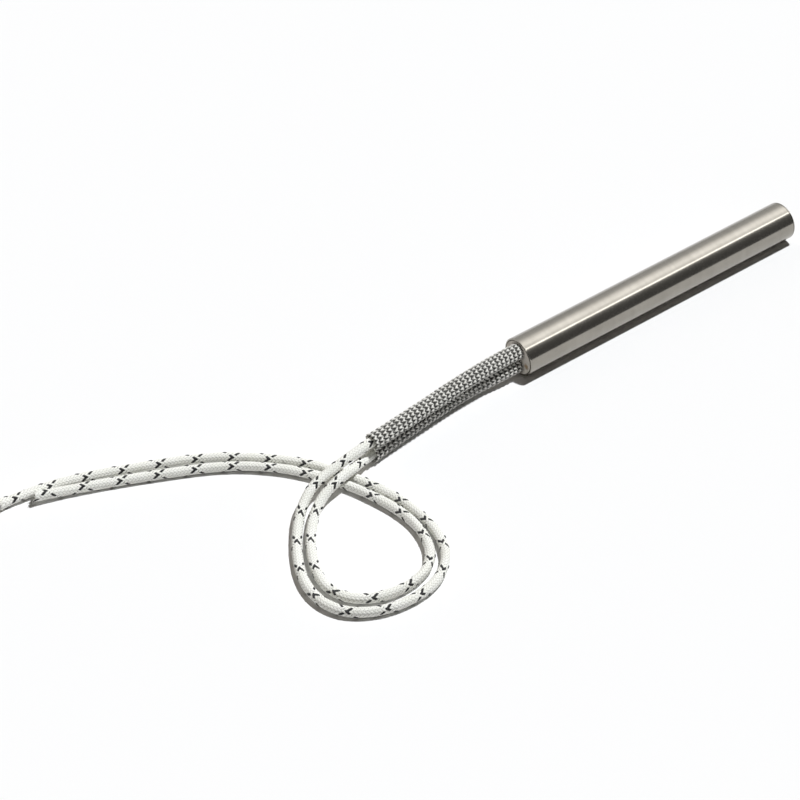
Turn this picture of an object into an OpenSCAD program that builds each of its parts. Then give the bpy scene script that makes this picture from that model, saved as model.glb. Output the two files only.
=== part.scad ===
// Cartridge heater: a ground steel sheath, a wound element packed inside it
// and two braided leads that leave one end. The sheath lies along X on z = 0.

/* [Sheath] */
// Outside diameter of the sheath
sheath_od = 10; // [9:0.5:16]
// Overall length of the sheath
sheath_l = 88.5; // [70:0.5:200]
// Wall of the sheath tube
sheath_wall = 0.65; // [0.4:0.05:0.9]
// Chamfer outside the rim at the lead end
rim_chamfer = 0.12; // [0.06:0.02:0.3]
// Chamfer inside the rim at the lead end
rim_flare = 0.3; // [0.1:0.05:0.3]
// Edge radius at the closed end
nose_radius = 0.5; // [0.2:0.05:0.6]

/* [Closed end] */
// Thickness of the welded end plug
plug_l = 3; // [2:0.5:6]
// Thickness of the insulating washer behind the plug
end_washer_l = 2; // [1:0.5:4]

/* [Element] */
// Diameter of the resistance wire
wire_d = 0.4; // [0.25:0.05:0.5]
// Whole turns of resistance wire along the cores
coil_turns = 30; // [15:1:34]
// Wall of packed powder between the wire and the sheath
fill_wall = 0.7; // [0.5:0.05:0.9]
// Diameter of the power pins
pin_d = 1; // [0.7:0.05:1.1]
// Distance between the axes of the two power pins
pin_pitch = 3.1; // [2.7:0.1:3.6]
// Length of the short pin that lies inside the first core
short_pin_grip = 8; // [4:0.5:9]
// Space left for the wire's tail at each end of the core stack
tail_gap = 0.8; // [0.7:0.1:1.5]

/* [Lead end] */
// Depth of the cement seal
seal_l = 5; // [3:0.5:8]
// Width of the groove between the seal's face and the rim
seal_groove = 0.17; // [0.08:0.01:0.3]
// Length of the two-hole bush that guides the leads
lead_bush_l = 4; // [2:0.5:8]
// Thickness of the mica washer
mica_l = 0.5; // [0.3:0.1:1]
// Space in which the conductors step from the leads' axes to the pins'
step_l = 2; // [1.5:0.1:3]
// Length of the two-hole bush round the crimps
terminal_bush_l = 8; // [7:0.5:12]
// Length of a crimp barrel
crimp_l = 6; // [4:0.5:6.5]
// Outside diameter of a crimp barrel
crimp_od = 1.9; // [1.7:0.05:2.1]

/* [Leads] */
// Diameter of the braided lead
lead_od = 2.5; // [2.2:0.1:3]
// Diameter of the stranded conductor
conductor_d = 1.2; // [0.8:0.1:1.4]
// Outside diameter of the braided sleeve
sleeve_od = 4.1; // [3.8:0.1:4.4]
// Length of each braided sleeve
sleeve_l = 47.5; // [30:0.5:60]

/* [Clearances] */
// Radial gap between the sheath's bore and what is packed in it
bore_gap = 0.02; // [0.01:0.01:0.05]
// Radial gap round pins, wire, crimps and conductors
wire_gap = 0.03; // [0.02:0.01:0.06]
// Radial gap between a lead and the bores it runs through
lead_gap = 0.05; // [0.03:0.01:0.1]
// Radial gap between a lead and its sleeve
sleeve_gap = 0.08; // [0.05:0.01:0.12]
// Gap between the two sleeves where they leave the seal
pair_gap = 0.1; // [0.05:0.05:0.3]
// Gap between pieces stacked end to end
stack_gap = 0.05; // [0.02:0.01:0.1]

/* [Hidden] */
$fn = 96;

core_count = 5;
coil_steps = 14;
coil_sides = 6;
cord_sides = 8;
cut_over = 1;
// Largest share of the wall that a rounded or chamfered edge may take
edge_share = 0.48;

axis_z = sheath_od / 2;
bore_r = sheath_od / 2 - sheath_wall;
packed_r = bore_r - bore_gap;
lead_end_x = -sheath_l / 2;
closed_end_x = sheath_l / 2;
rim_out = min(rim_chamfer, edge_share * sheath_wall);
rim_in = min(rim_flare, edge_share * sheath_wall);
nose_r = min(nose_radius, 2 * edge_share * sheath_wall);

// Stack of pieces, from the lead end inwards
seal_end_x = lead_end_x + seal_l;
bush_x = seal_end_x + stack_gap;
bush_end_x = bush_x + lead_bush_l;
mica_x = bush_end_x + stack_gap;
terminal_x = mica_x + mica_l + step_l;
terminal_end_x = terminal_x + terminal_bush_l;
core_x = terminal_end_x + tail_gap;

// Stack of pieces, from the closed end inwards
plug_x = closed_end_x - plug_l;
end_washer_x = plug_x - stack_gap - end_washer_l;
core_end_x = end_washer_x - tail_gap;
core_pitch = (core_end_x - core_x + stack_gap) / core_count;
core_l = core_pitch - stack_gap;

// Radii from the sheath's bore inwards
fill_r = packed_r - fill_wall;
coil_r = fill_r - wire_gap - wire_d / 2;
core_r = coil_r * cos(180 / coil_steps) - wire_d / 2 - wire_gap;
pin_hole_r = pin_d / 2 + wire_gap;
conductor_hole_r = conductor_d / 2 + wire_gap;
crimp_hole_r = crimp_od / 2 + wire_gap;
lead_hole_r = lead_od / 2 + lead_gap;

// The leads lie one above the other, and so do the crimps and pins
lead_offset = (sleeve_od + pair_gap) / 2;
pin_offset = pin_pitch / 2;
crimp_x = terminal_x + (terminal_bush_l - crimp_l) / 2;
joint_x = crimp_x + crimp_l / 2;
run_out = 6;

// Free run of each lead: distance from the lead end, side step and height
lead_a_run = [
    [-13, -0.2, 6.9], [-20, -0.6, 6.6], [-27, -1.3, 6.4], [-34, -2.1, 6.4], [-41, -2.9, 6.4],
    [-47.2, -3.5, 6.4], [-53.2, -4, 6.1], [-59.4, -4.5, 5.3], [-65.2, -5.3, 4.3], [-69.8, -7.5, 3.1],
    [-73.6, -10.7, 2.1], [-77, -14.6, 1.5], [-80.1, -19.1, 1.3], [-82.6, -24, 1.3], [-84, -29, 1.3],
    [-83.9, -34.2, 1.3], [-81.9, -38.8, 1.3], [-78, -42.3, 1.3], [-72.8, -44.5, 1.3], [-67.2, -45.2, 1.3],
    [-61.8, -44.6, 1.3], [-57, -42.4, 1.3], [-53.3, -38.8, 1.3], [-51, -34, 1.3], [-50, -28.6, 1.3],
    [-50.2, -22.8, 1.3], [-51.1, -17, 1.3], [-52.7, -11.2, 1.3], [-55, -5.4, 1.3], [-57.8, 0.2, 1.3],
    [-61.4, 5.4, 1.3], [-65.8, 10.2, 1.3], [-70.8, 14.8, 1.3], [-76.2, 19, 1.3], [-82.4, 22.6, 1.3],
    [-89, 25.7, 1.3], [-95.8, 28.7, 1.3], [-102.6, 31.5, 1.3], [-109.4, 33.8, 1.3], [-115.8, 35.3, 1.3],
    [-122, 36.1, 1.3]
];
lead_b_run = [
    [-13, 0.5, 2.4], [-20, 0.4, 2.1], [-27, -0.3, 2.1], [-34, -1.2, 2.1], [-41, -2.2, 2.1],
    [-47.6, -3.3, 2.1], [-51.2, -4.6, 3.1], [-55, -6.1, 4], [-59.4, -7, 4], [-63.8, -8, 3.2],
    [-67.8, -9.9, 2.2], [-71.4, -12.9, 1.5], [-74.6, -16.6, 1.3], [-77.3, -20.8, 1.3], [-79.4, -25.4, 1.3],
    [-80.4, -30, 1.3], [-79.5, -34.4, 1.3], [-77.1, -37.8, 1.3], [-73, -40.2, 1.3], [-68.3, -41.3, 1.3],
    [-63.5, -41.1, 1.3], [-59.1, -39.5, 1.3], [-55.8, -36.4, 1.3], [-53.7, -32.1, 1.3], [-52.8, -27, 1.3],
    [-53.1, -21.4, 1.3], [-54.3, -15.8, 1.3], [-56.2, -10.2, 1.3], [-58.7, -4.8, 1.3], [-61.6, 0.4, 1.3],
    [-65.1, 5.3, 1.3], [-69.4, 9.8, 1.3], [-74.4, 13.9, 1.3], [-80.2, 17.5, 1.3], [-86.8, 20.8, 1.3],
    [-93.6, 24, 1.3], [-100.4, 27, 1.3], [-107.8, 30, 1.4], [-115.4, 32.6, 1.9]
];

// Whole path of a lead's insulation
function lead_path(run, up) = concat(
    [[bush_end_x, 0, axis_z + up * lead_offset]],
    outer_path(run, up)
);

// Whole path of a conductor, from the crimp across to the lead's own axis
function conductor_path(run, up) = concat(
    [for (x = [joint_x - stack_gap, terminal_x]) [x, 0, axis_z + up * pin_offset]],
    [[mica_x + mica_l, 0, axis_z + up * lead_offset]],
    outer_path(run, up)
);

// Path of a lead outside the seal
function outer_path(run, up) = concat(
    [for (x = [0, -run_out]) [lead_end_x + x, 0, axis_z + up * lead_offset]],
    [for (p = run) [lead_end_x + p.x, p.y, p.z]]
);

// First stretch of a path, cut off at a given length
function cut_path(path, length, i = 0) =
    let (step = norm(path[i + 1] - path[i]))
    step >= length || i + 2 == len(path)
        ? [path[i], path[i] + (path[i + 1] - path[i]) * min(1, length / step)]
        : concat([path[i]], cut_path(path, length - step, i + 1));

function unit(v) = v / norm(v);

// Direction of a path at one of its points
function heading(path, i) =
    unit(path[min(i + 1, len(path) - 1)] - path[max(i - 1, 0)]);

// Rings of points round a path, square to it, with one side kept level with up
function rings(path, r, sides, up) = [
    for (i = [0:len(path) - 1])
        let (t = heading(path, i), side = unit(cross(up, t)), top = cross(t, side))
        for (k = [0:sides - 1])
            path[i] + r * (cos(360 * k / sides) * side + sin(360 * k / sides) * top)
];

// Side faces between rings, wound outwards, or inwards for the wall of a hole
function side_faces(count, sides, first = 0, outwards = true) = [
    for (i = [0:count - 2], k = [0:sides - 1])
        let (
            a = first + i * sides + k,
            b = first + i * sides + (k + 1) % sides,
            c = a + sides,
            d = b + sides
        )
        each (outwards ? [[a, c, d], [a, d, b]] : [[a, d, c], [a, b, d]])
];

// Solid rod along a path
module swept_rod(path, r, sides, up) {
    last = (len(path) - 1) * sides;
    polyhedron(
        points = rings(path, r, sides, up),
        faces = concat(
            side_faces(len(path), sides),
            [[for (k = [0:sides - 1]) k]],
            [[for (k = [sides - 1:-1:0]) last + k]]
        )
    );
}

// Tube along a path
module swept_tube(path, r_out, r_in, sides, up) {
    inner = len(path) * sides;
    last = inner - sides;
    polyhedron(
        points = concat(rings(path, r_out, sides, up), rings(path, r_in, sides, up)),
        faces = concat(
            side_faces(len(path), sides),
            side_faces(len(path), sides, inner, false),
            [for (k = [0:sides - 1])
                let (n = (k + 1) % sides)
                [k, n, inner + n, inner + k]],
            [for (k = [0:sides - 1])
                let (n = (k + 1) % sides)
                [last + n, last + k, inner + last + k, inner + last + n]]
        )
    );
}

// Places a shape that stands on Z so that it lies along X from a given point
module along_x(x, up = 0) {
    translate([x, 0, axis_z + up])
        rotate([0, 90, 0])
            children();
}

// Round rod that lies along X
module rod(x, length, r, up = 0) {
    along_x(x, up)
        cylinder(h = length, r = r);
}

// Disc packed in the sheath, with a hole above and a hole below its axis
module two_hole_disc(x, length, r, hole_r, offset) {
    difference() {
        rod(x, length, r);
        for (up = [-offset, offset])
            rod(x - cut_over, length + 2 * cut_over, hole_r, up);
    }
}

// Ground tube with a chamfered rim at the lead end and a rounded closed end
module sheath() {
    color([0.66, 0.63, 0.59])
        along_x(lead_end_x)
            rotate_extrude()
                sheath_section();
}

module sheath_section() {
    out_r = sheath_od / 2;
    nose_z = sheath_l - nose_r;
    polygon([
        [bore_r + rim_in, 0],
        [out_r - rim_out, 0],
        [out_r, rim_out],
        [out_r, nose_z],
        [out_r - nose_r, nose_z],
        [out_r - nose_r, sheath_l],
        [bore_r, sheath_l],
        [bore_r, rim_in]
    ]);
    intersection() {
        translate([out_r - nose_r, nose_z])
            circle(r = nose_r);
        translate([out_r - nose_r, nose_z])
            square(nose_r);
    }
}

module end_plug() {
    color([0.62, 0.6, 0.57])
        rod(plug_x, plug_l, packed_r);
}

module end_washer() {
    color([0.93, 0.91, 0.86])
        rod(end_washer_x, end_washer_l, packed_r);
}

module core(number) {
    color([0.95, 0.94, 0.9])
        two_hole_disc(core_x + (number - 1) * core_pitch, core_l, core_r, pin_hole_r, pin_offset);
}

// Wire wound along the cores, with a tail at each end that reaches its pin
module resistance_coil() {
    color([0.45, 0.42, 0.4])
        translate([0, 0, axis_z])
            swept_rod(coil_path(), wire_d / 2, coil_sides, [1, 0, 0]);
}

// Centre line of the wire about the sheath's axis
function coil_path() =
    let (
        from_x = core_x - tail_gap / 2,
        to_x = core_end_x + tail_gap / 2,
        steps = (coil_turns + 0.5) * coil_steps,
        tail_r = pin_offset + pin_d / 2 + wire_gap
    )
    concat(
        [[from_x, 0, tail_r]],
        [for (i = [0:steps])
            [from_x + (to_x - from_x) * i / steps,
             -coil_r * sin(360 * i / coil_steps),
             coil_r * cos(360 * i / coil_steps)]],
        [[to_x, 0, -tail_r]]
    );

module powder_fill() {
    color([0.86, 0.85, 0.82])
        difference() {
            rod(terminal_end_x + stack_gap, end_washer_x - terminal_end_x - 2 * stack_gap, packed_r);
            rod(terminal_end_x - cut_over, end_washer_x - terminal_end_x + 2 * cut_over, fill_r);
        }
}

// The long pin feeds the far end of the wire, through every core
module long_pin() {
    color([0.72, 0.7, 0.66])
        rod(joint_x + stack_gap, end_washer_x - joint_x - 2 * stack_gap, pin_d / 2, -pin_offset);
}

// The short pin feeds the near end of the wire
module short_pin() {
    color([0.72, 0.7, 0.66])
        rod(joint_x + stack_gap, core_x + short_pin_grip - joint_x, pin_d / 2, pin_offset);
}

// Barrel that joins a conductor to its pin
module crimp(up) {
    color([0.75, 0.73, 0.7])
        difference() {
            rod(crimp_x, crimp_l, crimp_od / 2, up * pin_offset);
            rod(crimp_x - cut_over, crimp_l / 2 + cut_over, conductor_hole_r, up * pin_offset);
            rod(joint_x - stack_gap, crimp_l / 2 + stack_gap + cut_over, pin_hole_r, up * pin_offset);
        }
}

module terminal_bush() {
    color([0.94, 0.92, 0.86])
        two_hole_disc(terminal_x, terminal_bush_l, packed_r, crimp_hole_r, pin_offset);
}

module mica_washer() {
    color([0.74, 0.66, 0.5])
        two_hole_disc(mica_x, mica_l, packed_r, conductor_hole_r, lead_offset);
}

module lead_bush() {
    color([0.94, 0.92, 0.86])
        two_hole_disc(bush_x, lead_bush_l, packed_r, lead_hole_r, lead_offset);
}

// Cement that closes the lead end: it fills the rim's inner chamfer up to a groove
module seal() {
    color([0.6, 0.56, 0.51])
        difference() {
            along_x(lead_end_x)
                rotate_extrude()
                    polygon([
                        [0, 0],
                        [packed_r + rim_in - seal_groove, 0],
                        [packed_r + rim_in / 2, rim_in / 2],
                        [packed_r, rim_in],
                        [packed_r, seal_l],
                        [0, seal_l]
                    ]);
            for (up = [-lead_offset, lead_offset])
                rod(lead_end_x - cut_over, seal_l + 2 * cut_over, lead_hole_r, up);
        }
}

// Stranded conductor, stripped inside the heater and cut flush at the far end
module conductor(run, up) {
    color([0.7, 0.68, 0.64])
        swept_rod(conductor_path(run, up), conductor_d / 2, cord_sides, [0, 0, 1]);
}

// Braided insulation of a lead, from the mica washer to the cut end
module lead(run, up) {
    color([0.9, 0.9, 0.85])
        swept_tube(
            lead_path(run, up),
            lead_od / 2, conductor_hole_r, cord_sides, [0, 0, 1]
        );
}

// Braided sleeve over the first stretch of a lead, butted to the seal
module sleeve(run, up) {
    color([0.6, 0.6, 0.58])
        swept_tube(
            cut_path(outer_path(run, up), sleeve_l),
            sleeve_od / 2, lead_od / 2 + sleeve_gap, cord_sides, [0, 0, 1]
        );
}

sheath();
end_plug();
end_washer();
for (i = [1:core_count])
    core(i);
resistance_coil();
powder_fill();
long_pin();
short_pin();
crimp(1);  // crimp_a
crimp(-1);  // crimp_b
terminal_bush();
mica_washer();
lead_bush();
seal();
conductor(lead_a_run, 1);  // conductor_a
conductor(lead_b_run, -1);  // conductor_b
lead(lead_a_run, 1);  // lead_a
lead(lead_b_run, -1);  // lead_b
sleeve(lead_a_run, 1);  // sleeve_a
sleeve(lead_b_run, -1);  // sleeve_b
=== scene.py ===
"""Looks of a cartridge heater: ground sheath, cement seal, looped sleeves and braided leads."""
import math

import bpy
import numpy as np
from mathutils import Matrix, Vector


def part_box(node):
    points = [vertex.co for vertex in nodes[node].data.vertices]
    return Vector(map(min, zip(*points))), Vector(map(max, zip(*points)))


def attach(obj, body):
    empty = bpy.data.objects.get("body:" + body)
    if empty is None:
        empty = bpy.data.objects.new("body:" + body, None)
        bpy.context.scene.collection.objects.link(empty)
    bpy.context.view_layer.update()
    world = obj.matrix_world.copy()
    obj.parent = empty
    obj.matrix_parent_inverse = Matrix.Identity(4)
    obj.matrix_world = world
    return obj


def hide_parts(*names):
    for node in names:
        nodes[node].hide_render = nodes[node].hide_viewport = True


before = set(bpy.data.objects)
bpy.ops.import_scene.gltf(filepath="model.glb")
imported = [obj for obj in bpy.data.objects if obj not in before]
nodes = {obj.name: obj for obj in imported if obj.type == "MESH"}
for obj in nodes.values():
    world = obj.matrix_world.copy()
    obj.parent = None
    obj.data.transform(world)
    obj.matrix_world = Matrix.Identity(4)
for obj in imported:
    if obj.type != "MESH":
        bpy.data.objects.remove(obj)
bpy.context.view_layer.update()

MM = 0.001
TURN = 2 * math.pi
UP = np.array([0.0, 0.0, 1.0])
random = np.random.default_rng(7)

# Places and sizes read from the frame
sheath_low, sheath_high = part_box("sheath")
LEAD_END_X = sheath_low.x
CLOSED_END_X = sheath_high.x
AXIS_Z = (sheath_low.z + sheath_high.z) / 2
seal_low, seal_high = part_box("seal")
SEAL_R = (seal_high.z - seal_low.z) / 2

# Leads
LEAD_R = 1.25 * MM
LEAD_OFFSET = 2.1 * MM  # exit above or below the axis of the sheath
RUN_OUT = 6 * MM  # straight run out of the exit
LOWEST_Z = 0.02 * MM  # lowest point of a lead or sleeve over the surface that it lies on

# Free run of each lead in millimetres: distance from the lead end, side step and height
LEAD_A_RUN = [
    (-13, -0.2, 6.9), (-20, -0.6, 6.6), (-27, -1.3, 6.4), (-34, -2.1, 6.4), (-41, -2.9, 6.4),
    (-47.2, -3.5, 6.4), (-53.2, -4, 6.1), (-59.4, -4.5, 5.3), (-65.2, -5.3, 4.3), (-69.8, -7.5, 3.1),
    (-73.6, -10.7, 2.1), (-77, -14.6, 1.5), (-80.1, -19.1, 1.3), (-82.6, -24, 1.3), (-84, -29, 1.3),
    (-83.9, -34.2, 1.3), (-81.9, -38.8, 1.3), (-78, -42.3, 1.3), (-72.8, -44.5, 1.3), (-67.2, -45.2, 1.3),
    (-61.8, -44.6, 1.3), (-57, -42.4, 1.3), (-53.3, -38.8, 1.3), (-51, -34, 1.3), (-50, -28.6, 1.3),
    (-50.2, -22.8, 1.3), (-51.1, -17, 1.3), (-52.7, -11.2, 1.3), (-55, -5.4, 1.3), (-57.8, 0.2, 1.3),
    (-61.4, 5.4, 1.3), (-65.8, 10.2, 1.3), (-70.8, 14.8, 1.3), (-76.2, 19, 1.3), (-82.4, 22.6, 1.3),
    (-89, 25.7, 1.3), (-95.8, 28.7, 1.3), (-102.6, 31.5, 1.3), (-109.4, 33.8, 1.3), (-115.8, 35.3, 1.3),
    (-122, 36.1, 1.3),
]
LEAD_B_RUN = [
    (-13, 0.5, 2.4), (-20, 0.4, 2.1), (-27, -0.3, 2.1), (-34, -1.2, 2.1), (-41, -2.2, 2.1),
    (-47.6, -3.3, 2.1), (-51.2, -4.6, 3.1), (-55, -6.1, 4), (-59.4, -7, 4), (-63.8, -8, 3.2),
    (-67.8, -9.9, 2.2), (-71.4, -12.9, 1.5), (-74.6, -16.6, 1.3), (-77.3, -20.8, 1.3), (-79.4, -25.4, 1.3),
    (-80.4, -30, 1.3), (-79.5, -34.4, 1.3), (-77.1, -37.8, 1.3), (-73, -40.2, 1.3), (-68.3, -41.3, 1.3),
    (-63.5, -41.1, 1.3), (-59.1, -39.5, 1.3), (-55.8, -36.4, 1.3), (-53.7, -32.1, 1.3), (-52.8, -27, 1.3),
    (-53.1, -21.4, 1.3), (-54.3, -15.8, 1.3), (-56.2, -10.2, 1.3), (-58.7, -4.8, 1.3), (-61.6, 0.4, 1.3),
    (-65.1, 5.3, 1.3), (-69.4, 9.8, 1.3), (-74.4, 13.9, 1.3), (-80.2, 17.5, 1.3), (-86.8, 20.8, 1.3),
    (-93.6, 24, 1.3), (-100.4, 27, 1.3), (-107.8, 30, 1.4), (-115.4, 32.6, 1.9),
]

# What sets each lead apart: side of its exit, length of one turn of its yarns, where its tracers first cross,
# and its cut end: how far the braid stands past the route, turns and spreads there, slant of the cut,
# the angle at which it reaches out most, and the number of loose ends
LEAD_A = {
    "run": LEAD_A_RUN, "up": 1, "turn": 8.65 * MM, "crossing": 4.7 * MM, "proud": 2.3 * MM, "twist": 0.0,
    "spread": 0.22, "slant": 0.35 * MM, "slant_at": 0.8, "loose_ends": 40,
}
LEAD_B = {
    "run": LEAD_B_RUN, "up": -1, "turn": 8.75 * MM, "crossing": 1.1 * MM, "proud": 1.6 * MM, "twist": 0.75,
    "spread": 0.08, "slant": 0.45 * MM, "slant_at": 2.2, "loose_ends": 16,
}

# Braid of the leads
LEAD_CARRIERS = 20  # yarns round it
POINTS_PER_CARRIER = 3  # mesh points for each yarn
LEAD_RELIEF = 0.17 * MM  # height of the weave
CROWN_FALL = 3.2  # fall of a yarn from its crown to its edge, against the height of its waves
HIDDEN_BACK = 2 * MM  # the braid starts this far inside the mouth of the sleeve
HIDDEN_STEP = 1.5 * MM  # mesh step where the sleeve hides the lead

# Tracer yarns, in pitches of the yarns
TRACER_HALF = 0.5  # half width
TRACER_LIFT = 0.7  # how far they stand above the white yarns
DOT_HALF = 0.24  # half width of the dot that shows between two white yarns
DOT_FROM = 0.38  # where the dot starts, from the middle of the yarn that covers the tracer

# The leads are a little oval, and the oval turns slowly and unevenly along them
OVAL_SHARE = 0.09
OVAL_LENGTH = 38 * MM
OVAL_SWAY = 0.6
OVAL_SWAY_RATE = 1.7

# Cut ends of the leads
TWIST_LENGTH = 20 * MM  # length over which the braid turns
OPEN_LENGTH = 3.2 * MM  # length over which it opens
RAGGED_LENGTH = 1.6 * MM  # length over which it is ragged
RAGGED = 0.22 * MM  # how far single yarns differ in length
BORE_BACK = np.array([0.0, 0.4, 1.6, 3.6]) * MM  # places of the bore's rings, back from the rim
BORE_SHARES = (0.8, 0.72)  # radius of the first two rings, against the lead's
BORE_RADII = (0.85 * MM, 0.66 * MM)  # radius of the other two

# Loose ends at a cut, each between two values
LOOSE_ROOT = (0.8, 0.97)  # root from the middle, against the rim
LOOSE_OUTWARDS = (-0.1, 0.5)  # lean outwards, against the length
LOOSE_SIDEWAYS = (-0.4, 0.4)  # lean sideways
LOOSE_LENGTH = (0.5 * MM, 1.3 * MM)
LOOSE_R = (0.03 * MM, 0.055 * MM)

# Loose ends, the same for all
LOOSE_BACK = 0.5 * MM  # root behind the rim
LOOSE_CURVE = 1.6  # how late they bend
LOOSE_TAPER = 0.45  # share of the radius that is left at the tip
LOOSE_ASIDE = np.array([0.31, 0.17, 0.73])  # turns their cross axes away from their own direction
LOOSE_UV = (0.175, 0.075)  # a place on the map of the weave where the top yarn is white

# Conductors
CONDUCTOR_R = 0.6 * MM
CONDUCTOR_WIRES = 7
CONDUCTOR_LAY = 12 * MM  # length of one turn of the wires
CONDUCTOR_STEP = 0.9 * MM  # mesh step
CONDUCTOR_SHORT = 0.5 * MM  # cut short of the insulation

# Sleeves
SLEEVE_R = 2.05 * MM
SLEEVE_BORE_R = 1.33 * MM
SLEEVE_L = 47.5 * MM
SLEEVE_ROWS = 12  # rows of loops round it
SLEEVE_LOOP = 1.405 * MM  # length of one loop
SLEEVE_RELIEF = 0.26 * MM  # height of the yarn
SLEEVE_POINTS = 144  # mesh points round it
SLEEVE_STEP = 0.12 * MM  # mesh step along it
MOUTH_LENGTH = 2.5 * MM  # length over which the mouth opens
MOUTH_FLARE = 0.03  # share by which it opens
MOUTH_BORE = [(0.0, 1.82 * MM), (0.6 * MM, 1.76 * MM), (3 * MM, 1.42 * MM)]  # distance back and radius

# Yarn of the sleeves, in loops
YARN_SWING = 0.21  # how far it swings along the sleeve
YARN_HALF = 0.25  # half width
YARN_TIP = 0.75  # how high its tips stand

# Lie of the loops on the sleeves
ROW_START = 0.7  # place of the first row at the seal
ROW_TURN = 0.85  # rows by which they turn back along a stretch
ROW_TURN_FROM = 8 * MM
ROW_TURN_TO = 33 * MM
LOOP_START = 0.285  # place of the first loop
LOOP_EVEN_AT = 24 * MM  # the loops grow longer along the sleeve, and their count is even here
LOOP_LAG = 0.3  # loops by which the count lags behind
LOOP_LAG_REACH = 14 * MM  # at this distance to either side

# Painted shade: a dark line round the sheath where its closed end starts to round off
PAINTED_EDGE_SHADE = 0.55 * MM  # distance from that end
PAINTED_EDGE_SHADE_CORE = 0.03 * MM  # half width of its darkest part
PAINTED_EDGE_SHADE_HALF = 0.14 * MM  # half width

# Marks on the seal: a stain, and painted shade in the rim's groove and round each sleeve
STAIN_AT = (LEAD_END_X, -3.1 * MM, AXIS_Z - 0.9 * MM)
STAIN_CORE = 0.45 * MM
STAIN_R = 0.95 * MM
GROOVE_SHADE_W = 0.12 * MM  # width of the painted shade in the groove along the rim
FOOT_SHADE_W = 0.7 * MM  # reach of the painted shade round each sleeve
SEAL_UNEVEN = 0.3 * MM  # unevenness of their edges

# Camera, as in the photograph
CAMERA_AT = Vector((-0.35193, -0.35118, 0.40960))
CAMERA_DIRECTION = Vector((0.45501503, 0.58866309, -0.66815948))
CAMERA_LENS = 114.43
CAMERA_SENSOR = 36.0

# Key lamp
KEY_AT = Vector((0.117, -0.049, 0.49))
KEY_RADIUS = 0.013
KEY_LEVEL = 2.98
KEY_COLOUR = (0.985, 1.0, 1.015)
KEY_FLATTEST = 0.15  # flattest slope at which it still makes up for distance

# Soft fill
FILL_COLOUR = (1.0, 0.89, 0.79)
FILL_ALL_ROUND = 0.004
FILL_FROM_LEADS = 0.11
FILL_FROM_BEHIND = 0.36

# Studio round the object as metal sees it: angle over the top from the front, in degrees, and level
STUDIO = [
    (0, 0.12), (22, 0.127), (35, 0.147), (46, 0.2), (58, 0.38), (65, 1.1), (67, 5.0), (71, 5.0), (73, 1.9),
    (81, 1.83), (94, 2.5), (107, 2.44), (121, 1.78), (136, 1.02), (155, 0.75), (180, 0.67),
]

# Floor
FLOOR_HALF = 2.0  # half its width
FLOOR_Z = -0.05 * MM  # just under the object


# Camera

def make_camera():
    data = bpy.data.cameras.new("camera")
    data.sensor_width = CAMERA_SENSOR
    data.lens = CAMERA_LENS
    data.clip_start = 0.01
    data.clip_end = 20
    camera = bpy.data.objects.new("camera", data)
    camera.location = CAMERA_AT
    camera.rotation_mode = "QUATERNION"
    camera.rotation_quaternion = CAMERA_DIRECTION.to_track_quat("-Z", "Y")
    bpy.context.scene.collection.objects.link(camera)
    bpy.context.scene.camera = camera


# Node helpers

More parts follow.
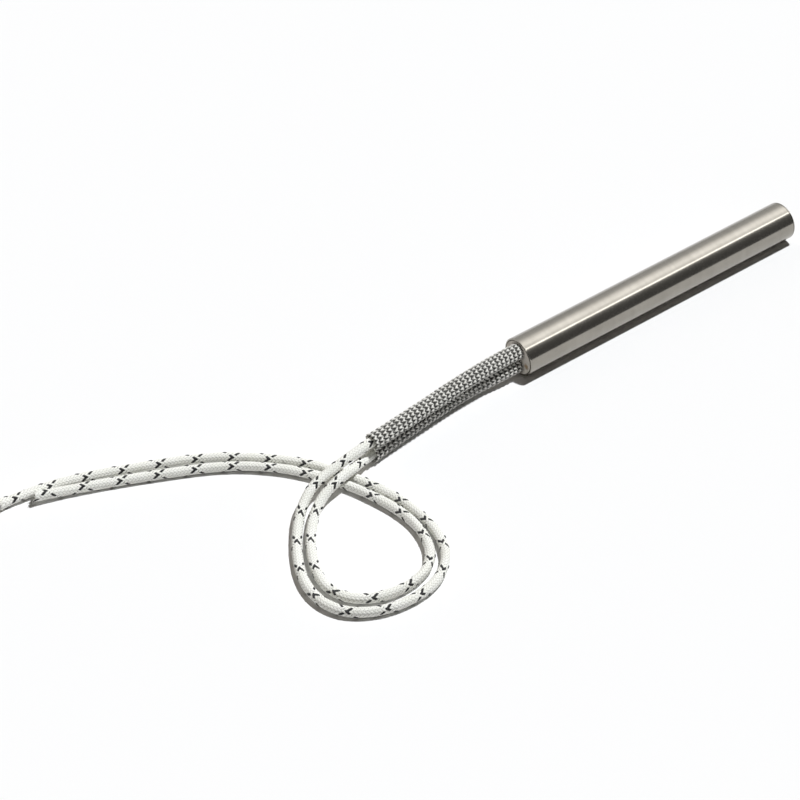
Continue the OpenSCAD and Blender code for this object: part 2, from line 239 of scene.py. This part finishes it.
class Tree:
    """A node tree with short calls for the nodes that the materials use."""

    def __init__(self, tree):
        self.tree = tree

    def node(self, kind, **settings):
        made = self.tree.nodes.new(kind)
        for name, value in settings.items():
            setattr(made, name, value)
        return made

    def put(self, socket, value):
        """Links a socket to another one, or sets it to a plain value."""
        if isinstance(value, bpy.types.NodeSocket):
            self.tree.links.new(value, socket)
        else:
            socket.default_value = value

    def maths(self, operation, *values):
        made = self.node("ShaderNodeMath", operation=operation)
        for socket, value in zip(made.inputs, values):
            self.put(socket, value)
        return made.outputs[0]

    def plus(self, first, second):
        return self.maths("ADD", first, second)

    def minus(self, first, second):
        return self.maths("SUBTRACT", first, second)

    def times(self, first, second):
        return self.maths("MULTIPLY", first, second)

    def spread(self, value, low, high, to_low=0.0, to_high=1.0):
        """value taken from low..high to to_low..to_high, held at the ends."""
        made = self.node("ShaderNodeMapRange")
        for socket, number in zip(made.inputs, (value, low, high, to_low, to_high)):
            self.put(socket, number)
        return made.outputs[0]

    def blend(self, factor, first, second):
        """Colour between two others."""
        made = self.node("ShaderNodeMix", data_type="RGBA")
        self.put(made.inputs["Factor"], factor)
        colours = [s for s in made.inputs if s.type == "RGBA"]
        self.put(colours[0], first)
        self.put(colours[1], second)
        return next(s for s in made.outputs if s.type == "RGBA")

    def number_blend(self, factor, first, second):
        """Number between two others."""
        made = self.node("ShaderNodeMix", data_type="FLOAT")
        self.put(made.inputs["Factor"], factor)
        numbers = [s for s in made.inputs if s.type == "VALUE" and s.name in ("A", "B")]
        self.put(numbers[0], first)
        self.put(numbers[1], second)
        return next(s for s in made.outputs if s.type == "VALUE")

    def shade(self, noise, dark, pale):
        """Colour that follows a noise from dark to pale."""
        return self.blend(self.spread(noise, 0.35, 0.65), dark, pale)

    def vary(self, noise, low, high):
        """Number that follows a noise from low to high."""
        return self.spread(noise, 0.3, 0.7, low, high)

    def parts(self, vector):
        """X, Y and Z of a vector."""
        made = self.node("ShaderNodeSeparateXYZ")
        self.put(made.inputs[0], vector)
        return list(made.outputs)

    def place(self, scale=(1, 1, 1)):
        """Place on the object, stretched by scale."""
        coordinates = self.node("ShaderNodeTexCoord")
        mapping = self.node("ShaderNodeMapping")
        self.put(mapping.inputs["Vector"], coordinates.outputs["Object"])
        mapping.inputs["Scale"].default_value = scale
        return mapping.outputs[0]

    def weave_place(self):
        """Place on the map of the weave, round the piece and along it."""
        return self.parts(self.node("ShaderNodeUVMap", uv_map="weave").outputs[0])[:2]

    def noise(self, vector, scale, detail=3.0):
        made = self.node("ShaderNodeTexNoise")
        self.put(made.inputs["Vector"], vector)
        made.inputs["Scale"].default_value = scale
        made.inputs["Detail"].default_value = detail
        return made.outputs["Fac"]

    def bump(self, height, strength, distance):
        made = self.node("ShaderNodeBump")
        made.inputs["Strength"].default_value = strength
        made.inputs["Distance"].default_value = distance
        self.put(made.inputs["Height"], height)
        return made.outputs[0]


def new_material(name):
    material = bpy.data.materials.new(name)
    material.use_nodes = True
    tree = Tree(material.node_tree)
    return material, tree, material.node_tree.nodes["Principled BSDF"]


def rgb(red, green, blue):
    return (red, green, blue, 1.0)


# Materials

def mottled(name, dark, pale, grain, roughness, metallic=0.0, relief=0.02 * MM):
    """Plain matt or metal stock with a fine uneven grain."""
    material, tree, shader = new_material(name)
    place = tree.place()
    fine = tree.noise(place, grain)
    broad = tree.noise(place, grain / 8)
    tree.put(shader.inputs["Base Color"], tree.shade(tree.number_blend(0.5, fine, broad), dark, pale))
    tree.put(shader.inputs["Roughness"], tree.vary(fine, roughness - 0.08, roughness + 0.08))
    shader.inputs["Metallic"].default_value = metallic
    tree.put(shader.inputs["Normal"], tree.bump(fine, 0.6, relief))
    return material


def ground_steel():
    """Centreless-ground steel: very fine lines round the sheath, faint uneven patches, a few specks, and a
    painted line of shade where the closed end rounds off.
    """
    material, tree, shader = new_material("ground_steel")
    lines = tree.noise(tree.place((1, 0.02, 0.02)), 16000, 2.0)
    bands = tree.noise(tree.place((1, 0.1, 0.1)), 700, 2.0)
    patches = tree.noise(tree.place((0.35, 1, 1)), 420, 3.0)
    specks = tree.noise(tree.place(), 2600, 2.0)
    tone = tree.number_blend(0.6, bands, patches)
    colour = tree.shade(tone, rgb(0.292, 0.275, 0.243), rgb(0.333, 0.314, 0.279))
    colour = tree.blend(tree.spread(specks, 0.68, 0.74, 0.0, 0.35), colour, rgb(0.16, 0.145, 0.13))

    # Painted shade: dark line at the closed end, where it starts to round off
    along = tree.parts(tree.place())[0]
    to_edge_shade = tree.maths("ABSOLUTE", tree.minus(along, CLOSED_END_X - PAINTED_EDGE_SHADE))
    line = tree.spread(to_edge_shade, PAINTED_EDGE_SHADE_CORE, PAINTED_EDGE_SHADE_HALF, 0.7, 0.0)
    colour = tree.blend(line, colour, rgb(0.05, 0.045, 0.04))

    tree.put(shader.inputs["Base Color"], colour)
    tree.put(shader.inputs["Roughness"], tree.vary(lines, 0.17, 0.21))
    shader.inputs["Metallic"].default_value = 1.0
    shader.inputs["Anisotropic"].default_value = 0.85
    shader.inputs["Anisotropic Rotation"].default_value = 0.25
    tangent = tree.node("ShaderNodeTangent", direction_type="RADIAL", axis="X")
    tree.put(shader.inputs["Tangent"], tangent.outputs[0])
    tree.put(shader.inputs["Normal"], tree.bump(lines, 0.03, 0.01 * MM))
    return material


def seal_cement():
    """Grey-brown cement with a fine grain, one tan stain near the edge, and painted shade in the rim's groove
    and round each sleeve.
    """
    material, tree, shader = new_material("seal_cement")
    place = tree.place()
    grain = tree.noise(place, 2600, 4.0)
    cloud = tree.noise(place, 500, 2.0)
    colour = tree.shade(cloud, rgb(0.58, 0.54, 0.485), rgb(0.72, 0.675, 0.615))
    colour = tree.blend(tree.spread(grain, 0.55, 0.75), colour, rgb(0.78, 0.735, 0.675))
    uneven = tree.spread(grain, 0.2, 0.8, -SEAL_UNEVEN, SEAL_UNEVEN)

    # Stain
    away = tree.node("ShaderNodeVectorMath", operation="DISTANCE")
    tree.put(away.inputs[0], place)
    away.inputs[1].default_value = STAIN_AT
    stain = tree.spread(tree.plus(away.outputs["Value"], uneven), STAIN_CORE, STAIN_R, 0.85, 0.0)
    colour = tree.blend(stain, colour, rgb(0.27, 0.17, 0.075))

    # Painted shade: dark in the groove along the rim, and round the foot of each sleeve where it meets the
    # seal
    _, across, height = tree.parts(place)

    def away_from(middle):
        rise = tree.minus(height, middle)
        return tree.maths("SQRT", tree.plus(tree.times(across, across), tree.times(rise, rise)))

    groove_shade = tree.spread(away_from(AXIS_Z), SEAL_R - GROOVE_SHADE_W, SEAL_R, 0.0, 0.9)
    feet = tree.maths("MINIMUM", away_from(AXIS_Z + LEAD_OFFSET), away_from(AXIS_Z - LEAD_OFFSET))
    foot_shade = tree.spread(tree.plus(feet, uneven), SLEEVE_R, SLEEVE_R + FOOT_SHADE_W, 0.6, 0.0)
    colour = tree.blend(tree.maths("MAXIMUM", groove_shade, foot_shade), colour, rgb(0.05, 0.04, 0.032))

    tree.put(shader.inputs["Base Color"], colour)
    tree.put(shader.inputs["Roughness"], tree.vary(grain, 0.55, 0.8))
    tree.put(shader.inputs["Normal"], tree.bump(grain, 0.5, 0.06 * MM))
    return material


def braid_lattice(tree):
    """Top yarn of a braid that goes over two and under two, at turns round and along on the weave's map.

    Returns whether the right-hand yarn is on top, for each hand whether the yarn is the tracer and how far
    off its middle the place is, and the top height.
    """
    around, along = tree.weave_place()
    half = LEAD_CARRIERS / 2
    right = tree.times(tree.minus(around, along), half)
    left = tree.times(tree.plus(around, along), half)

    def yarn(own, other, phase):
        number = tree.maths("ROUND", own)
        offset = tree.minus(own, number)
        angle = tree.times(tree.minus(tree.plus(number, other), phase), TURN / 4)
        crown = tree.times(tree.times(offset, offset), -CROWN_FALL)
        tracer = tree.maths("COMPARE", tree.maths("FLOORED_MODULO", number, half), 0.0, 0.1)
        height = tree.plus(tree.maths("COSINE", angle), crown)
        return (tracer, offset), tree.plus(height, tree.times(tracer, TRACER_LIFT))

    right_yarn, right_height = yarn(right, left, 0.5)
    left_yarn, left_height = yarn(left, right, 2.5)
    on_top = tree.maths("GREATER_THAN", right_height, left_height)
    return on_top, right_yarn, left_yarn, tree.maths("MAXIMUM", right_height, left_height)


def braid_heights(around, along):
    """Top height of the braid at turns round and turns along, as braid_lattice has it."""
    half = LEAD_CARRIERS / 2
    right = (around - along) * half
    left = (around + along) * half

    def yarn(own, other, phase):
        number = np.round(own)
        offset = own - number
        tracer = np.mod(number, half) < 0.1
        return np.cos((number + other - phase) * TURN / 4) - CROWN_FALL * offset ** 2 + TRACER_LIFT * tracer

    return np.maximum(yarn(right, left, 0.5), yarn(left, right, 2.5))


def loop_lattice(tree):
    """Height of the sleeve's loops at rows round and loops along on the map, and place across the yarn."""
    rows, loops = tree.weave_place()
    wave = tree.maths("COSINE", tree.times(rows, TURN))
    middle = tree.minus(loops, tree.times(wave, YARN_SWING))
    across = tree.minus(tree.maths("FRACT", tree.plus(middle, 0.5)), 0.5)
    offset = tree.maths("DIVIDE", across, YARN_HALF)
    crown = tree.minus(1.0, tree.times(offset, offset))
    return tree.plus(crown, tree.times(wave, YARN_TIP)), offset


def loop_heights(rows, loops):
    """Height of the sleeve's loops at rows round and loops along, as loop_lattice has it."""
    wave = np.cos(rows * TURN)
    across = np.mod(loops - YARN_SWING * wave + 0.5, 1) - 0.5
    return np.maximum(1 - (across / YARN_HALF) ** 2 + YARN_TIP * wave, -1)


def fibre_bump(tree, offset, height, ends):
    """Bump of the single ends within each yarn, over the weave's own relief."""
    ripple = tree.maths("COSINE", tree.times(offset, TURN * ends))
    detail = tree.plus(tree.times(ripple, 0.12), tree.times(height, 0.5))
    return tree.bump(detail, 0.5, 0.05 * MM)


def lead_braid():
    """Varnished white glass braid with one black tracer of each hand, and painted shade where the weave lies
    low.
    """
    material, tree, shader = new_material("lead_braid")
    on_top, right, left, height = braid_lattice(tree)

    def within(yarn, low, high):
        size = tree.maths("ABSOLUTE", yarn[1])
        return tree.times(tree.maths("GREATER_THAN", size, low), tree.maths("LESS_THAN", size, high))

    def tracer(yarn):
        return tree.times(yarn[0], within(yarn, -1.0, TRACER_HALF))

    def dot(under, over):
        """The tracer that shows as a dot between the two yarns that cover it."""
        narrow = tree.times(under[0], within(under, -1.0, DOT_HALF))
        return tree.times(narrow, within(over, DOT_FROM, 1.0))

    offset = tree.number_blend(on_top, left[1], right[1])
    black = tree.number_blend(on_top, tracer(left), tracer(right))
    dots = tree.number_blend(on_top, dot(right, left), dot(left, right))
    cloud = tree.noise(tree.place(), 350, 2.0)
    white = tree.shade(cloud, rgb(0.94, 0.943, 0.88), rgb(0.98, 0.98, 0.935))
    # Painted shade: the white darkens where the weave lies low, between the yarns
    white = tree.blend(tree.spread(height, -0.75, 0.35), rgb(0.40, 0.395, 0.34), white)
    white = tree.blend(tree.times(dots, 0.85), white, rgb(0.06, 0.06, 0.06))
    tree.put(shader.inputs["Base Color"], tree.blend(black, white, rgb(0.012, 0.012, 0.013)))
    tree.put(shader.inputs["Roughness"], tree.vary(cloud, 0.38, 0.5))
    shader.inputs["Specular IOR Level"].default_value = 0.35
    tree.put(shader.inputs["Normal"], fibre_bump(tree, offset, height, 4))
    return material


def sleeve_loops():
    """Glass sleeve made of loops of pale yarn, with painted shade in the gaps between them."""
    material, tree, shader = new_material("sleeve_loops")
    height, offset = loop_lattice(tree)
    cloud = tree.noise(tree.place(), 600, 2.0)
    pale = tree.shade(cloud, rgb(0.82, 0.812, 0.765), rgb(0.94, 0.932, 0.885))
    # Painted shade: near-black where the loops lie low, in the gaps between them, with an uneven edge
    uneven = tree.vary(tree.noise(tree.place(), 1500, 2.0), -0.9, 0.9)
    shown = tree.spread(tree.plus(height, uneven), -0.9, 1.3)
    tree.put(shader.inputs["Base Color"], tree.blend(shown, rgb(0.05, 0.049, 0.045), pale))
    tree.put(shader.inputs["Roughness"], tree.vary(cloud, 0.45, 0.6))
    shader.inputs["Specular IOR Level"].default_value = 0.35
    tree.put(shader.inputs["Normal"], fibre_bump(tree, offset, height, 1.5))
    return material


# Lines

def unit(vectors):
    return vectors / np.linalg.norm(vectors, axis=-1, keepdims=True)


def smooth_step(value, low, high):
    t = np.clip((value - low) / (high - low), 0, 1)
    return t * t * (3 - 2 * t)


def smooth_line(points, samples=40):
    """Dense smooth line through given points."""
    points = np.array(points, float)
    ends = np.concatenate([[2 * points[0] - points[1]], points, [2 * points[-1] - points[-2]]])
    t = np.linspace(0, 1, samples, endpoint=False)[:, None]
    pieces = []
    for a, b, c, d in zip(ends, ends[1:], ends[2:], ends[3:]):
        pieces.append(0.5 * (
            2 * b + (c - a) * t + (2 * a - 5 * b + 4 * c - d) * t ** 2 + (3 * b - a - 3 * c + d) * t ** 3
        ))
    return np.concatenate(pieces + [points[-1:]])


class Line:
    """A smooth line that gives its point, direction and cross axes at any distance, and runs on straight."""

    def __init__(self, points):
        self.points = smooth_line(points)
        steps = np.linalg.norm(np.diff(self.points, axis=0), axis=1)
        self.along = np.concatenate([[0], np.cumsum(steps)])
        self.length = self.along[-1]
        self.last_direction = (self.points[-1] - self.points[-2]) / steps[-1]

    def at(self, distance):
        points = np.stack([np.interp(distance, self.along, self.points[:, k]) for k in range(3)], axis=1)
        return points + np.maximum(distance - self.length, 0)[:, None] * self.last_direction

    def axes(self, distance, reach=0.6 * MM):
        forward = unit(self.at(distance + reach) - self.at(np.maximum(distance - reach, 0)))
        side = unit(np.cross(UP, forward))
        return forward, side, np.cross(forward, side)

    def rings(self, distance, angle, radius, push=None):
        """Points round the line: one ring for each distance, one point for each angle."""
        forward, side, top = self.axes(distance)
        out = np.cos(angle)[:, :, None] * side[:, None] + np.sin(angle)[:, :, None] * top[:, None]
        points = self.at(distance)[:, None] + radius[:, :, None] * out
        if push is not None:
            points = points + push[:, :, None] * forward[:, None]
        return points

    def camera_side(self):
        """Angle round the line that faces the camera, at any distance."""
        _, side, top = self.axes(self.along)
        view = np.array(CAMERA_AT) - self.points
        angle = np.unwrap(np.arctan2((view * top).sum(axis=1), (view * side).sum(axis=1)))
        return lambda distance: np.interp(distance, self.along, angle)


# Meshes

def ring_faces(rows, columns):
    """Quads between rings, and for each quad's corners the row and the unwrapped column."""
    row, column = np.meshgrid(np.arange(rows - 1), np.arange(columns), indexing="ij")
    row, column = row.ravel(), column.ravel()
    corner_row = np.stack([row, row, row + 1, row + 1], axis=1)
    corner_column = np.stack([column, column + 1, column + 1, column], axis=1)
    return corner_row * columns + corner_column % columns, corner_row, corner_column


def end_discs(rows, columns):
    """Faces that close the first and the last ring."""
    last = (rows - 1) * columns
    return [list(range(columns))[::-1], list(range(last, last + columns))]


def rod(path, radius, sides, across):
    """Closed rod along a path, as points and faces; across is a direction that its path doesn't take."""
    forward = unit(np.gradient(path, axis=0))
    side = unit(np.cross(across, forward))
    top = np.cross(forward, side)
    angle = np.arange(sides) * TURN / sides
    out = np.cos(angle)[None, :, None] * side[:, None] + np.sin(angle)[None, :, None] * top[:, None]
    rings = path[:, None] + radius * out
    faces = ring_faces(len(path), sides)[0].tolist() + end_discs(len(path), sides)
    return rings.reshape(-1, 3), faces


def joined(pieces):
    """One list of points and one of faces from several pieces."""
    points = np.concatenate([piece_points for piece_points, _ in pieces])
    faces = []
    first = 0
    for piece_points, piece_faces in pieces:
        faces += [[first + corner for corner in face] for face in piece_faces]
        first += len(piece_points)
    return points, faces


def build_mesh(name, points, faces, material, uv=None):
    mesh = bpy.data.meshes.new(name)
    mesh.from_pydata(points.tolist(), [], faces)
    if uv is not None:
        layer = mesh.uv_layers.new(name="weave")
        layer.uv.foreach_set("vector", np.asarray(uv, np.float32).ravel())
    mesh.shade_smooth()
    mesh.materials.append(material)
    made = bpy.data.objects.new(name, mesh)
    bpy.context.scene.collection.objects.link(made)
    return made


# Leads, sleeves and conductors

def lead_exit(lead):
    return (LEAD_END_X, 0, AXIS_Z + lead["up"] * LEAD_OFFSET)


def lead_points(lead):
    """Route of a lead: straight out of its exit, then along its free run."""
    x, y, z = lead_exit(lead)
    free_run = [(x + along * MM, y + side * MM, height * MM) for along, side, height in lead["run"]]
    return [(x, y, z), (x - RUN_OUT, y, z)] + free_run


def make_lead(name, line, lead, facing, material):
    """Braided insulation: plain under the sleeve, braided to the cut end, which opens and frays.

    facing gives the angle round the lead at which its tracers cross.
    """
    columns = LEAD_CARRIERS * POINTS_PER_CARRIER
    step = lead["turn"] / columns
    end = line.length + lead["proud"]
    shown = SLEEVE_L - HIDDEN_BACK
    hidden = np.arange(0, shown, HIDDEN_STEP)
    distance = np.concatenate([hidden, np.arange(shown, end - 0.4 * step, step), [end]])
    along = (distance - lead["crossing"]) / lead["turn"]
    around = np.arange(columns + 1) / columns
    twist = lead["twist"] * smooth_step(distance, end - TWIST_LENGTH, end)
    angle = around[None, :-1] * TURN + (facing(distance) + twist)[:, None]

    # Woven surface, a little oval, and plain where the sleeve hides it
    heights = braid_heights(around[None, :-1], along[:, None])
    lean = distance / OVAL_LENGTH + OVAL_SWAY * np.sin(distance / OVAL_LENGTH * OVAL_SWAY_RATE)
    oval = 1 - OVAL_SHARE * np.sin(angle - lean[:, None] * math.pi) ** 2
    radius = (LEAD_R + LEAD_RELIEF * 0.5 * (heights - 1)) * oval
    radius[:len(hidden)] = LEAD_R - LEAD_RELIEF

    # The cut end opens, and each yarn is cut to its own length
    to_end = end - distance
    radius *= (1 + lead["spread"] * (1 - smooth_step(to_end, 0, OPEN_LENGTH)))[:, None]
    yarns = np.repeat(random.uniform(-RAGGED, RAGGED, LEAD_CARRIERS), POINTS_PER_CARRIER)
    ragged = yarns + lead["slant"] * np.cos(around[:-1] * TURN + lead["slant_at"])
    push = ragged[None] * (1 - smooth_step(to_end, 0, RAGGED_LENGTH))[:, None]
    rings = line.rings(distance, angle, radius, push)

    # Bore, from the rim back to the conductor
    bore_r = np.array([LEAD_R * (share + lead["spread"]) for share in BORE_SHARES] + list(BORE_RADII))
    bore = line.rings(
        end - BORE_BACK, np.repeat(angle[-1:], len(bore_r), axis=0),
        np.repeat(bore_r[:, None], columns, axis=1), np.repeat(ragged[None], len(bore_r), axis=0),
    )
    rings = np.concatenate([rings, bore])
    rings[:, :, 2] = np.maximum(rings[:, :, 2], LOWEST_Z)
    along = np.concatenate([along, np.repeat(along[-1:], len(bore_r))])

    # Mesh, with the loose ends and the map of the weave
    quads, corner_row, corner_column = ring_faces(len(rings), columns)
    skin = (rings.reshape(-1, 3), quads.tolist() + end_discs(len(rings), columns))
    loose = loose_ends(line, lead, end)
    points, faces = joined([skin] + loose)
    uv = np.stack([around[corner_column], along[corner_row]], axis=2).reshape(-1, 2).tolist()
    uv += [(0.0, 0.0)] * (2 * columns)
    uv += [LOOSE_UV] * sum(len(face) for _, loose_faces in loose for face in loose_faces)
    return build_mesh(name, points, faces, material, uv)


def loose_ends(line, lead, end):
    """Glass ends that stand out of the cut rim, each as points and faces."""
    rim_at = np.array([end])
    middle = line.at(rim_at)[0]
    forward, side, top = (axis[0] for axis in line.axes(rim_at))
    rim = LEAD_R * (1 + lead["spread"])
    t = np.linspace(0, 1, 4)[:, None]
    made = []
    for _ in range(lead["loose_ends"]):
        angle = random.uniform(0, TURN)
        out = math.cos(angle) * side + math.sin(angle) * top
        root = middle + out * rim * random.uniform(*LOOSE_ROOT) - forward * LOOSE_BACK
        lean = out * random.uniform(*LOOSE_OUTWARDS)
        lean = lean + np.cross(forward, out) * random.uniform(*LOOSE_SIDEWAYS)
        reach = random.uniform(*LOOSE_LENGTH)
        path = root + forward * reach * t + lean * reach * t ** LOOSE_CURVE
        path[:, 2] = np.maximum(path[:, 2], 3 * LOWEST_Z)
        radius = random.uniform(*LOOSE_R) * np.linspace(1, LOOSE_TAPER, len(path))[:, None, None]
        made.append(rod(path, radius, 4, unit(path[1] - path[0]) + LOOSE_ASIDE))
    return made


def loop_map(distance, facing):
    """Rows and loops of the sleeve at each distance: the rows turn and the loops grow a little along it."""
    turned = ROW_START - ROW_TURN * smooth_step(distance, ROW_TURN_FROM, ROW_TURN_TO)
    lag = LOOP_LAG * ((distance - LOOP_EVEN_AT) / LOOP_LAG_REACH) ** 2
    rows = turned - facing(distance) * SLEEVE_ROWS / TURN
    return rows, distance / SLEEVE_LOOP - lag + LOOP_START


def make_sleeve(name, line, facing, material):
    """Glass sleeve: butted to the seal, open at its mouth."""
    columns = SLEEVE_POINTS
    around = np.arange(columns + 1) / columns
    distance = np.append(np.arange(0, SLEEVE_L - 0.4 * SLEEVE_STEP, SLEEVE_STEP), SLEEVE_L)
    angle = np.repeat(around[None, :-1] * TURN, len(distance), axis=0)
    rows, loops = loop_map(distance, facing)
    heights = loop_heights(around[None, :-1] * SLEEVE_ROWS + rows[:, None], loops[:, None])
    flare = 1 + MOUTH_FLARE * (1 - smooth_step(SLEEVE_L - distance, 0, MOUTH_LENGTH))
    rings = line.rings(distance, angle, (SLEEVE_R + SLEEVE_RELIEF * 0.5 * (heights - 1)) * flare[:, None])

    # Bore, from the mouth back to the seal
    bore = [(SLEEVE_L - back, radius) for back, radius in MOUTH_BORE]
    bore += [(SLEEVE_L / 2, SLEEVE_BORE_R), (0.0, SLEEVE_BORE_R)]
    bore_at, bore_r = np.array(bore).T
    inner = line.rings(bore_at, angle[:len(bore)], np.repeat(bore_r[:, None], columns, axis=1))
    rings = np.concatenate([rings, inner])
    rings[:, :, 2] = np.maximum(rings[:, :, 2], LOWEST_Z)

    # Mesh, closed at the seal by quads between the last ring and the first, and the map of the loops
    bore_rows, bore_loops = loop_map(bore_at, facing)
    rows = np.concatenate([rows, bore_rows])
    loops = np.concatenate([loops, bore_loops])
    quads, corner_row, corner_column = ring_faces(len(rings), columns)
    uv = np.stack([around[corner_column] * SLEEVE_ROWS + rows[corner_row], loops[corner_row]], axis=2)
    uv = uv.reshape(-1, 2).tolist()
    last = (len(rings) - 1) * columns
    closing = [[last + k, last + (k + 1) % columns, (k + 1) % columns, k] for k in range(columns)]
    closing_uv = [(around[k + c] * SLEEVE_ROWS, 0.0) for k in range(columns) for c in (0, 1, 1, 0)]
    return build_mesh(name, rings.reshape(-1, 3), quads.tolist() + closing, material, uv + closing_uv)


def make_conductor(name, line, lead, material):
    """Stranded conductor: six wires laid round one, cut just short of the insulation's end."""
    wire_r = CONDUCTOR_R / 3
    end = line.length + lead["proud"]
    distance = np.append(np.arange(0, end - CONDUCTOR_STEP, CONDUCTOR_STEP), end - CONDUCTOR_SHORT)
    _, side, top = line.axes(distance)
    middle = line.at(distance)
    outer = CONDUCTOR_WIRES - 1
    wires = []
    for k in range(outer):
        angle = (distance / CONDUCTOR_LAY + k / outer) * TURN
        path = middle + 2 * wire_r * (np.cos(angle)[:, None] * side + np.sin(angle)[:, None] * top)
        wires.append(rod(path, wire_r, 6, UP))
    wires.append(rod(middle, wire_r, 6, UP))
    return build_mesh(name, *joined(wires), material)


def make_cord(letter, lead, lead_finish, sleeve_finish, conductor_finish):
    """One lead with its sleeve and conductor, in place of their plain solids."""
    line = Line(lead_points(lead))
    facing = line.camera_side()
    insulation = make_lead("lead_" + letter + "_braid", line, lead, facing, lead_finish)
    sleeve = make_sleeve("sleeve_" + letter + "_loops", line, facing, sleeve_finish)
    conductor = make_conductor("conductor_" + letter + "_strands", line, lead, conductor_finish)
    for piece, node, slot in (
        (insulation, "lead_" + letter, "lead_braid"),
        (sleeve, "sleeve_" + letter, "sleeve_braid"),
        (conductor, "conductor_" + letter, "nickel"),
    ):
        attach(piece, "root")
        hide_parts(node)


# Stage

def make_floor():
    corners = [(x * FLOOR_HALF, y * FLOOR_HALF, FLOOR_Z) for x, y in ((-1, -1), (1, -1), (1, 1), (-1, 1))]
    mesh = bpy.data.meshes.new("floor")
    mesh.from_pydata(corners, [], [(0, 1, 2, 3)])
    material, _, shader = new_material("floor")
    shader.inputs["Base Color"].default_value = rgb(0.95, 0.95, 0.95)
    shader.inputs["Roughness"].default_value = 0.9
    shader.inputs["Specular IOR Level"].default_value = 0.0
    mesh.materials.append(material)
    floor = bpy.data.objects.new("floor", mesh)
    bpy.context.scene.collection.objects.link(floor)


def make_key():
    """Small lamp over the closed end, stronger to the sides and far off, so that the floor is lit evenly."""
    data = bpy.data.lights.new("key", "POINT")
    data.energy = 4 * math.pi * KEY_LEVEL
    data.shadow_soft_size = KEY_RADIUS
    data.color = KEY_COLOUR
    data.use_nodes = True
    tree = Tree(data.node_tree)
    even = tree.node("ShaderNodeLightFalloff")
    even.inputs["Strength"].default_value = 1.0
    direction = tree.parts(tree.node("ShaderNodeTexCoord").outputs["Normal"])
    down = tree.maths("MAXIMUM", tree.maths("ABSOLUTE", direction[2]), KEY_FLATTEST)
    strength = tree.maths("DIVIDE", even.outputs["Constant"], down)
    tree.put(data.node_tree.nodes["Emission"].inputs["Strength"], strength)
    key = bpy.data.objects.new("key", data)
    key.location = KEY_AT
    key.visible_glossy = False
    bpy.context.scene.collection.objects.link(key)


def studio_level(tree, angle):
    """Level of the studio at an angle over the top, in radians."""
    ramp = tree.node("ShaderNodeFloatCurve")
    curve = ramp.mapping.curves[0]
    top = max(level for _, level in STUDIO)
    for _ in STUDIO[2:]:
        curve.points.new(0.5, 0.5)
    for point, (degrees, level) in zip(curve.points, STUDIO):
        point.location = (degrees / 180, level / top)
        point.handle_type = "VECTOR"
    ramp.mapping.update()
    tree.put(ramp.inputs["Value"], tree.maths("DIVIDE", angle, math.pi))
    return tree.times(ramp.outputs[0], top)


def make_world():
    """White to the camera, a studio to gloss, and a soft fill to the rest."""
    world = bpy.data.worlds.new("studio")
    bpy.context.scene.world = world
    world.use_nodes = True
    tree = Tree(world.node_tree)
    background = world.node_tree.nodes["Background"]
    x, y, z = tree.parts(tree.node("ShaderNodeTexCoord").outputs["Generated"])
    studio = studio_level(tree, tree.maths("ARCTAN2", z, tree.times(y, -1.0)))
    from_leads = tree.times(tree.maths("MAXIMUM", tree.times(x, -1.0), 0.0), FILL_FROM_LEADS)
    from_behind = tree.times(tree.maths("MAXIMUM", y, 0.0), FILL_FROM_BEHIND)
    fill = tree.plus(tree.plus(from_leads, from_behind), FILL_ALL_ROUND)
    rays = tree.node("ShaderNodeLightPath")
    level = tree.number_blend(rays.outputs["Is Glossy Ray"], fill, studio)
    level = tree.number_blend(rays.outputs["Is Camera Ray"], level, 1.0)
    tree.put(background.inputs["Strength"], level)
    plain = tree.maths("MAXIMUM", rays.outputs["Is Glossy Ray"], rays.outputs["Is Camera Ray"])
    tree.put(background.inputs["Color"], tree.blend(plain, rgb(*FILL_COLOUR), rgb(1, 1, 1)))


# Build

def dress(material, *names):
    """Gives nodes of the frame their finish."""
    for name in names:
        mesh = nodes[name].data
        mesh.materials.clear()
        mesh.materials.append(material)


make_camera()

braid = lead_braid()
loops = sleeve_loops()
nickel = mottled("nickel", rgb(0.45, 0.43, 0.40), rgb(0.62, 0.60, 0.56), 4000, 0.35, 1.0)
make_cord("a", LEAD_A, braid, loops, nickel)
make_cord("b", LEAD_B, braid, loops, nickel)

ceramic = mottled("ceramic", rgb(0.78, 0.76, 0.70), rgb(0.88, 0.86, 0.80), 3000, 0.6)
powder = mottled("powder", rgb(0.62, 0.61, 0.58), rgb(0.78, 0.77, 0.74), 6000, 0.9, 0.0, 0.05 * MM)
mica = mottled("mica", rgb(0.42, 0.33, 0.2), rgb(0.62, 0.52, 0.36), 1500, 0.4)
resistance_wire = mottled("resistance_wire", rgb(0.2, 0.18, 0.16), rgb(0.34, 0.31, 0.28), 5000, 0.4, 1.0)
dress(ground_steel(), "sheath", "end_plug")
dress(seal_cement(), "seal")
dress(ceramic, "core_1", "core_2", "core_3", "core_4", "core_5", "terminal_bush", "lead_bush", "end_washer")
dress(powder, "powder_fill")
dress(mica, "mica_washer")
dress(resistance_wire, "resistance_coil")
dress(nickel, "long_pin", "short_pin", "crimp_a", "crimp_b")

make_floor()
make_key()
make_world()
bpy.context.scene.view_settings.view_transform = "Standard"
